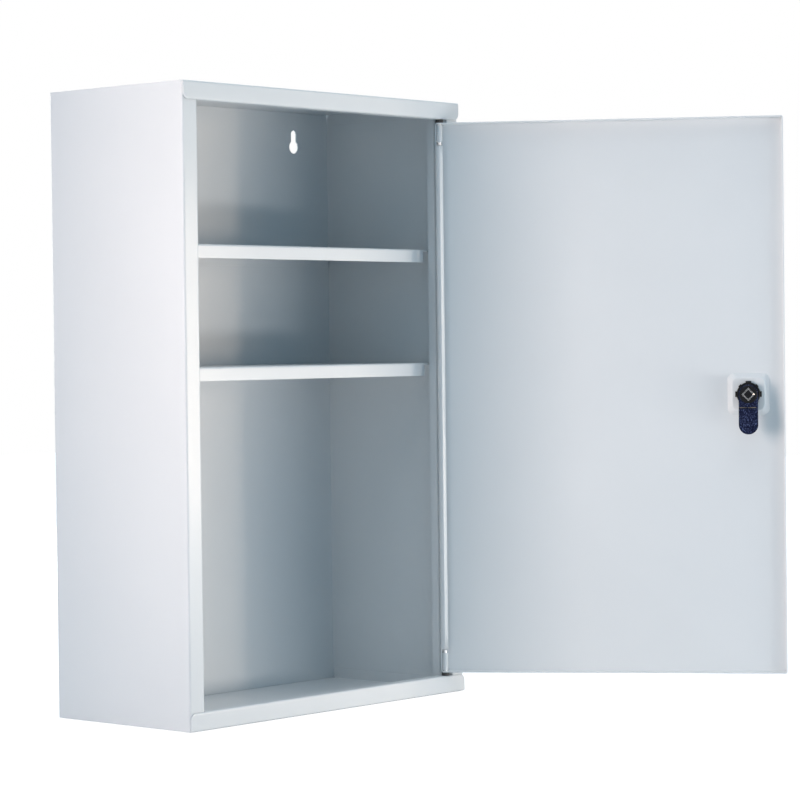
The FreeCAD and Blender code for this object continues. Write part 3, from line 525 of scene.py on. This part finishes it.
def painted_fold_highlight(tree):
    """Broken painted highlight along the fold of the tongue: a band of height, cut by a noise."""
    coords = tree.nodes.new("ShaderNodeTexCoord")
    split = tree.nodes.new("ShaderNodeSeparateXYZ")
    away = tree.nodes.new("ShaderNodeMath")
    away.operation = "SUBTRACT"
    away.inputs[1].default_value = FOLD_HEIGHT
    size = tree.nodes.new("ShaderNodeMath")
    size.operation = "ABSOLUTE"
    tree.links.new(coords.outputs["Object"], split.inputs[0])
    tree.links.new(split.outputs["Z"], away.inputs[0])
    tree.links.new(away.outputs[0], size.inputs[0])
    band = ramp_range(tree, size.outputs[0], FOLD_HALF, 0.0)
    return multiply(tree, band, ramp_range(tree, object_noise(tree, *FOLD_BREAKS), *FOLD_BREAK_RANGE))


def blued_tongue():
    """Dark navy coat with a metallic sparkle."""
    material, tree, shader = new_finish("blued_tongue")
    sparkle = object_noise(tree, *TONGUE_SPARKLE)
    tone = ramp_between(tree, sparkle, TONGUE_DEEP, TONGUE_PALE, *TONGUE_RANGE)
    edges = edge_mask(tree, TONGUE_EDGE_WIDTH, TONGUE_EDGE_TIGHTNESS)
    coat = mix_colours(tree, edges, tone, TONGUE_EDGE)
    # Painted highlight: a broken pale line is mixed in along the fold.
    with_fold_highlight = mix_colours(tree, painted_fold_highlight(tree), coat, FOLD_HIGHLIGHT)
    tree.links.new(with_fold_highlight, shader.inputs["Base Color"])
    link_roughness(tree, shader, sparkle, *TONGUE_ROUGHNESS)
    shader.inputs["Metallic"].default_value = TONGUE_METALLIC
    shader.inputs["Specular IOR Level"].default_value = TONGUE_SPECULAR
    add_bump(tree, shader, sparkle, *TONGUE_RELIEF)
    return material


keep_finish("blued_steel", blued_tongue())

# %% [markdown]
# ## Plated metal and nylon
# The hinge pins and the lock's stop washer are zinc plated, the wafers are stamped brass and the
# hinge washers are black nylon. Little of them shows, so each has only a grain: drawn lines along
# the pins, fine specks on the others.

# %% Plated metal and nylon
PLATE_LINES = (900.0, 3.0)
PLATE_SHADE = 0.86
PLATE_SMOOTHER, PLATE_ROUGHER = 0.8, 1.25
PLATE_RELIEF = (0.08, 0.05 * MM)
ZINC = (0.74, 0.75, 0.77)
ZINC_ROUGHNESS = 0.28
ZINC_STRETCH = (1, 1, 0.1)
BRASS = (0.72, 0.55, 0.24)
BRASS_ROUGHNESS = 0.3
NYLON_DEEP = (0.012, 0.012, 0.013)
NYLON_PALE = (0.03, 0.03, 0.032)
NYLON_GRAIN = (900.0, 2.0)
NYLON_ROUGHNESS = (0.45, 0.6)
NYLON_RELIEF = (0.05, 0.05 * MM)


def plated_metal(name, colour, rough, stretch=(1, 1, 1)):
    """Plated or stamped metal with fine drawn lines."""
    material, tree, shader = new_finish(name)
    lines = object_noise(tree, *PLATE_LINES, stretch)
    dark = tuple(PLATE_SHADE * channel for channel in colour)
    tree.links.new(ramp_between(tree, lines, dark, colour), shader.inputs["Base Color"])
    link_roughness(tree, shader, lines, rough * PLATE_SMOOTHER, rough * PLATE_ROUGHER)
    shader.inputs["Metallic"].default_value = 1.0
    add_bump(tree, shader, lines, *PLATE_RELIEF)
    return material


def plain_nylon():
    """Black nylon with a soft grain."""
    material, tree, shader = new_finish("plain_nylon")
    grain = object_noise(tree, *NYLON_GRAIN)
    tone = ramp_between(tree, grain, NYLON_DEEP, NYLON_PALE)
    tree.links.new(tone, shader.inputs["Base Color"])
    link_roughness(tree, shader, grain, *NYLON_ROUGHNESS)
    add_bump(tree, shader, grain, *NYLON_RELIEF)
    return material


keep_finish("zinc_steel", plated_metal("zinc_plate", ZINC, ZINC_ROUGHNESS, ZINC_STRETCH))
keep_finish("brass", plated_metal("stamped_brass", BRASS, BRASS_ROUGHNESS))
keep_finish("nylon", plain_nylon())

# %% [markdown]
# ## Finishes on the nodes
# The record names a slot for every node, so one loop gives each node the finish of its slot. The
# meshes themselves stay as they were packed.

# %% Give every node its finish
for part in frame["record"]["subparts"]:
    mesh = nodes[part["node"]].data
    mesh.materials.clear()
    mesh.materials.append(finishes[part["material_slot"]])

# %% [markdown]
# ## Small pieces of the door
# The welds and the slanted hem below are small painted steel forms on the door. Each one is a
# section carried along a line, so each comes from one grid of points: rows go along the line and
# columns go round the section. The grid closes across and gets a flat face at each end.

# %% Helpers for carried sections
BAR_ROWS = 40


def node_points(name):
    """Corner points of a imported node, one row each."""
    mesh = nodes[name].data
    points = np.empty(len(mesh.vertices) * 3)
    mesh.vertices.foreach_get("co", points)
    return points.reshape(-1, 3)


def closed_strip(name, grid):
    """Mesh of a grid that closes across, with a flat face at each end."""
    rows, columns = grid.shape[:2]
    index = np.arange(rows * columns).reshape(rows, columns)
    beside = np.roll(index, -1, axis=1)
    quads = np.stack((index[:-1], beside[:-1], beside[1:], index[1:]), axis=-1).reshape(-1, 4)
    faces = quads.tolist() + [index[0, ::-1].tolist(), index[-1].tolist()]
    mesh = bpy.data.meshes.new(name)
    mesh.from_pydata(grid.reshape(-1, 3).tolist(), [], faces)
    shell = bmesh.new()
    shell.from_mesh(mesh)
    bmesh.ops.recalc_face_normals(shell, faces=shell.faces)
    shell.to_mesh(mesh)
    shell.free()
    mesh.polygons.foreach_set("use_smooth", np.arange(len(mesh.polygons)) < len(quads))
    return mesh


def add_piece(mesh, body, slot):
    """Puts a finished mesh in the scene, on a body, with the finish of a slot."""
    mesh.materials.append(finishes[slot])
    piece = bpy.data.objects.new(mesh.name, mesh)
    bpy.context.scene.collection.objects.link(piece)
    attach(piece, body)
    print(piece.name, "faces", len(mesh.polygons))


def straight_bar(section, low, high):
    """Section carried straight up between two heights, as a grid of points."""
    heights = np.linspace(low, high, BAR_ROWS)[:, None]
    across = np.broadcast_to(section[None, :, 0], (BAR_ROWS, len(section)))
    along = np.broadcast_to(section[None, :, 1], (BAR_ROWS, len(section)))
    return np.stack((across, along, np.broadcast_to(heights, across.shape)), axis=-1)


# %% [markdown]
# ## Directions of the door
# The door stands open at an angle, so its pieces are worked out along its own directions: across
# it from the hinge, and inward from its panel. The lock's axis points inward, and the upright
# gives the third direction.

# %% Directions of the open door
UP = np.array((0.0, 0.0, 1.0))
DOOR_INWARD = np.array(joints["lock_turn"]["axis"])
DOOR_ACROSS = np.cross(UP, DOOR_INWARD)
print("door inward", DOOR_INWARD.round(3), "across", DOOR_ACROSS.round(3))

# %% [markdown]
# ## Hinge welds
# Each hinge barrel is a short tube welded to the inside of the door. The bead lies in the groove
# between tube and sheet and shows the small ripples of a hand weld. It could be a curve with a
# bevel, but a profile carried along a path gives full control of the ripples: one parameter
# runs along the barrel and the other round the bead's section.

# %% Weld beads along the hinge barrels
WELD_REACH = 1.5 * MM
WELD_INSET = 1.0 * MM
WELD_BULGE = 0.16 * MM
WELD_RIPPLE = 0.10 * MM
WELD_PITCH = 0.9 * MM
WELD_FOOT = 1.1 * WELD_REACH
WELD_END_POWER = 12
WELD_END_DRAW = 0.9
WELD_SECTION = 11
WELD_STEPS = 140


def weld_bead(barrel):
    """Bead points on a grid: rows along the barrel, columns across the bead.

    Across, a straight line from the sheet to the tube swells by half a sine wave, and the last
    column is the root of the groove. Along, the swell rises and falls with the size of a sine
    wave, and the section draws in to its root at both ends.
    """
    low, high = (np.array(corner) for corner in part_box(barrel))
    radius = (high[0] - low[0]) / 2
    along = np.linspace(0, 1, WELD_STEPS)[:, None]
    height = low[2] + WELD_INSET + along * (high[2] - low[2] - 2 * WELD_INSET)
    turn = np.linspace(0, 1, WELD_SECTION)[None, :]
    climb = math.asin(WELD_REACH / radius)
    foot = np.array((WELD_FOOT, -radius))
    top = radius * np.array((math.sin(climb), -math.cos(climb)))
    line = top - foot
    normal = np.array((-line[1], line[0])) / -np.hypot(*line)
    swell = WELD_BULGE + WELD_RIPPLE * np.abs(np.sin(math.pi * height / WELD_PITCH))
    lift = swell * np.sin(math.pi * turn)
    root = np.array((0.0, -radius))
    taper = np.sqrt(1 - np.abs(2 * along - 1) ** WELD_END_POWER * WELD_END_DRAW)
    across = root[0] + (foot[0] + turn * line[0] + lift * normal[0] - root[0]) * taper
    inward = root[1] + (foot[1] + turn * line[1] + lift * normal[1] - root[1]) * taper
    across = np.hstack((across, np.full_like(height, root[0])))
    inward = np.hstack((inward, np.full_like(height, root[1])))
    middle = (low + high) / 2 * (1, 1, 0)
    flat = across[..., None] * DOOR_ACROSS + inward[..., None] * DOOR_INWARD
    return middle + flat + height[..., None] * UP


for barrel in ("hinge_barrel_upper", "hinge_barrel_lower"):
    bead = closed_strip(barrel.replace("barrel", "weld"), weld_bead(barrel))
    add_piece(bead, "door", "painted_steel")

# %% [markdown]
# ## Slanted hem of the hinge edge
# The photograph shows a bright line between the dark door stop and the door. Here a slanted hem
# on the door's rolled hinge edge makes it, which is a guess at the real fold. It could be a solid
# drawn with the pan, but it is thin and ends short of the barrels, so a bent section is carried
# straight up between them. The slant faces the front light.

# %% Fold the slanted hem
SLANT = math.radians(47)
SLANT_LENGTH = 2.6 * MM
SLANT_BEND = 0.95 * MM
SLANT_GAUGE = 0.9 * MM
SLANT_START = 0.4 * MM
SLANT_PROUD = 0.2 * MM
SLANT_CLEAR = 3.0 * MM
SLANT_ARC = 9
HINGE_ZONE = 6.0 * MM
RETURN_SIDE = 2.0 * MM
barrel_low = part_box("hinge_barrel_lower")[1].z
barrel_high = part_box("hinge_barrel_upper")[0].z


def hinge_return():
    """Free edge of the door's rolled return: its place across and inward of the hinge axis."""
    points = node_points("door_panel")
    between = (points[:, 2] > barrel_low) & (points[:, 2] < barrel_high)
    points = points[between] - np.array(joints["door_swing"]["pos_m"])
    across, inward = points @ DOOR_ACROSS, points @ DOOR_INWARD
    near = (across < HINGE_ZONE) & (inward > RETURN_SIDE)
    return across[near].max(), inward[near].max()


def slant_section():
    """Points of a bend, a straight slant and a round end, and of its inside one gauge in."""
    edge, face = hinge_return()
    print("return edge, mm", round(edge / MM, 2), round(face / MM, 2))
    start = np.array((edge - SLANT_START, face + SLANT_PROUD))
    centre = start - (0, SLANT_BEND)
    turn = np.linspace(0, SLANT, SLANT_ARC)
    bend = np.stack((np.sin(turn), np.cos(turn)), 1)
    normal, ahead = bend[-1], np.array((math.cos(SLANT), -math.sin(SLANT)))
    tip = centre + SLANT_BEND * normal + SLANT_LENGTH * ahead - normal * SLANT_GAUGE / 2
    round_turn = np.linspace(0, math.pi, SLANT_ARC)[:, None]
    end = tip + SLANT_GAUGE / 2 * (normal * np.cos(round_turn) + ahead * np.sin(round_turn))
    outer = centre + SLANT_BEND * bend
    inner = centre + (SLANT_BEND - SLANT_GAUGE) * bend[[-1, 0]]
    return np.vstack((outer, end, inner))


def on_door(section, low, high):
    """Section across and inward of the hinge axis, carried up the door between two heights."""
    hinge = np.array(joints["door_swing"]["pos_m"]) * (1, 1, 0)
    flat = hinge + section[:, :1] * DOOR_ACROSS + section[:, 1:] * DOOR_INWARD
    return straight_bar(flat[:, :2], low, high)


slant_grid = on_door(slant_section(), barrel_low + SLANT_CLEAR, barrel_high - SLANT_CLEAR)
add_piece(closed_strip("hinge_edge_hem", slant_grid), "door", "painted_steel")

# %% [markdown]
# ## View transform
# The dressed cabinet has to keep the size of its solids. The plain view transform keeps the white of
# the surround white.

# %% Plain view transform
bpy.context.scene.view_settings.view_transform = "Standard"
